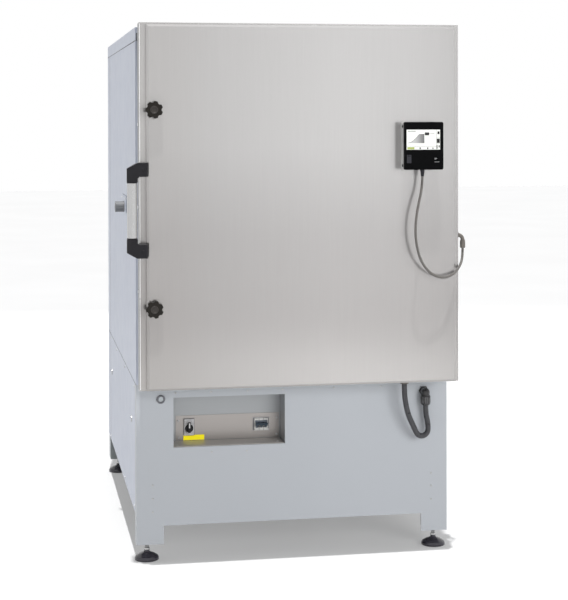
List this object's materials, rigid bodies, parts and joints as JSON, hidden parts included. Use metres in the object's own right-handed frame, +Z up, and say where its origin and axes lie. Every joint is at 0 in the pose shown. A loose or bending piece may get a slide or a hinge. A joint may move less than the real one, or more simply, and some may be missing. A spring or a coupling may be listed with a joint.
{
  "type": "forced convection furnace",
  "caption": "Floor-standing forced convection chamber furnace on a panelled base, with a hinged stainless door, star clamps, bow handle and controller.",
  "frame": {"origin": "on the floor, under the middle of the casing's width and depth", "axes": "+X to the right seen from the front, +Y to the rear, +Z up; the door faces -Y"},
  "size_m": [1.2525, 1.8802, 1.96],
  "materials": {
    "door_stainless": "textured stainless sheet",
    "stainless": "plain stainless sheet",
    "side_paint": "satin powder coat, light blue grey",
    "base_paint": "satin powder coat, blue grey",
    "frame_paint": "satin powder coat, grey",
    "door_edge": "dull grey sheet",
    "board": "compressed mineral fibre board",
    "seal": "woven glass rope",
    "black_plastic": "moulded black plastic",
    "grey_plastic": "moulded grey plastic",
    "panel_plastic": "glossy black front",
    "case_plastic": "moulded light grey plastic",
    "handle_tube": "anodised tube",
    "zinc_steel": "zinc plated steel",
    "motor_paint": "grey enamel",
    "heater_alloy": "heat tinted alloy tube",
    "hose_rubber": "matt black flexible conduit",
    "cable_rubber": "dark grey cable sheath"
  },
  "bodies": {
    "casing": {"base_frame": "frame_paint", "base_front_panel": "base_paint", "base_panel_left": "side_paint", "base_panel_right": "side_paint", "base_panel_rear": "side_paint", "base_deck": "zinc_steel", "levelling_feet": "black_plastic", "control_niche": "stainless", "switch_plate": "stainless", "main_switch_body": "grey_plastic", "circuit_breaker": "grey_plastic", "switchgear_plate": "zinc_steel", "contactor": "grey_plastic", "base_fittings": "grey_plastic", "panel_locks": "black_plastic", "hose_elbow": "black_plastic", "casing_side_left": "side_paint", "casing_side_right": "side_paint", "casing_rear": "side_paint", "casing_top": "side_paint", "front_frame": "stainless", "insulation_floor": "board", "insulation_top": "board", "insulation_left": "board", "insulation_right": "board", "insulation_rear": "board", "chamber_liner": "stainless", "air_baffle_left": "stainless", "air_baffle_right": "stainless", "air_baffle_rear": "stainless", "heating_elements": "heater_alloy", "shelf_rails": "stainless", "shelf_lower": "stainless", "shelf_upper": "stainless", "fan_motor": "motor_paint", "exhaust_pipe": "stainless", "thermocouple": "zinc_steel", "air_inlet_flange": "side_paint", "hinge_brackets": "side_paint", "door_hose": "hose_rubber"},
    "door": {"door_skin": "door_stainless", "door_frame": "door_edge", "door_insulation": "board", "door_plug": "stainless", "door_seal": "seal", "hinge_leaves": "side_paint", "handle_legs": "black_plastic", "handle_grip": "handle_tube", "controller_housing": "case_plastic", "controller_front": "panel_plastic", "door_glands": "grey_plastic", "controller_cable": "cable_rubber"},
    "star_knob_upper": {"star_knob_upper": "black_plastic"},
    "star_knob_lower": {"star_knob_lower": "black_plastic"},
    "main_switch_lever": {"main_switch_lever": "black_plastic"},
    "breaker_toggle": {"breaker_toggle": "black_plastic"},
    "fan_wheel": {"fan_wheel": "stainless"},
    "exhaust_flap": {"exhaust_flap": "stainless"},
    "air_inlet_knob": {"air_inlet_knob": "grey_plastic"},
    "controller_flap": {"controller_flap": "panel_plastic"}
  },
  "joints": [
    {"name": "door_hinge", "type": "hinge", "parent": "casing", "child": "door", "pos_m": [0.607, -0.792, 1.307], "axis": [0, 0, 1], "range_deg": [0, 120], "deforming": ["door_hose"]},
    {"name": "star_knob_upper_turn", "type": "hinge", "parent": "door", "child": "star_knob_upper", "pos_m": [-0.535, -0.96, 1.65], "axis": [0, -1, 0], "continuous": true},
    {"name": "star_knob_lower_turn", "type": "hinge", "parent": "door", "child": "star_knob_lower", "pos_m": [-0.535, -0.96, 0.947], "axis": [0, -1, 0], "continuous": true},
    {"name": "controller_flap_hinge", "type": "hinge", "parent": "door", "child": "controller_flap", "pos_m": [0.3775, -1.0085, 1.458], "axis": [1, 0, 0], "range_deg": [0, 90]},
    {"name": "main_switch_turn", "type": "hinge", "parent": "casing", "child": "main_switch_lever", "pos_m": [-0.38, -0.671, 0.466], "axis": [0, 1, 0], "range_deg": [0, 90]},
    {"name": "breaker_toggle_tilt", "type": "hinge", "parent": "casing", "child": "breaker_toggle", "pos_m": [-0.108, -0.667, 0.4715], "axis": [1, 0, 0], "range_deg": [0, 40]},
    {"name": "fan_spin", "type": "hinge", "parent": "casing", "child": "fan_wheel", "pos_m": [0, 0.3, 1.305], "axis": [0, 1, 0], "continuous": true},
    {"name": "exhaust_flap_turn", "type": "hinge", "parent": "casing", "child": "exhaust_flap", "pos_m": [0.23, 0.794, 1.64], "axis": [0, 0, 1], "range_deg": [0, 90]},
    {"name": "air_inlet_turn", "type": "hinge", "parent": "casing", "child": "air_inlet_knob", "pos_m": [-0.59, -0.245, 1.272], "axis": [-1, 0, 0], "range_deg": [0, 90]}
  ]
}
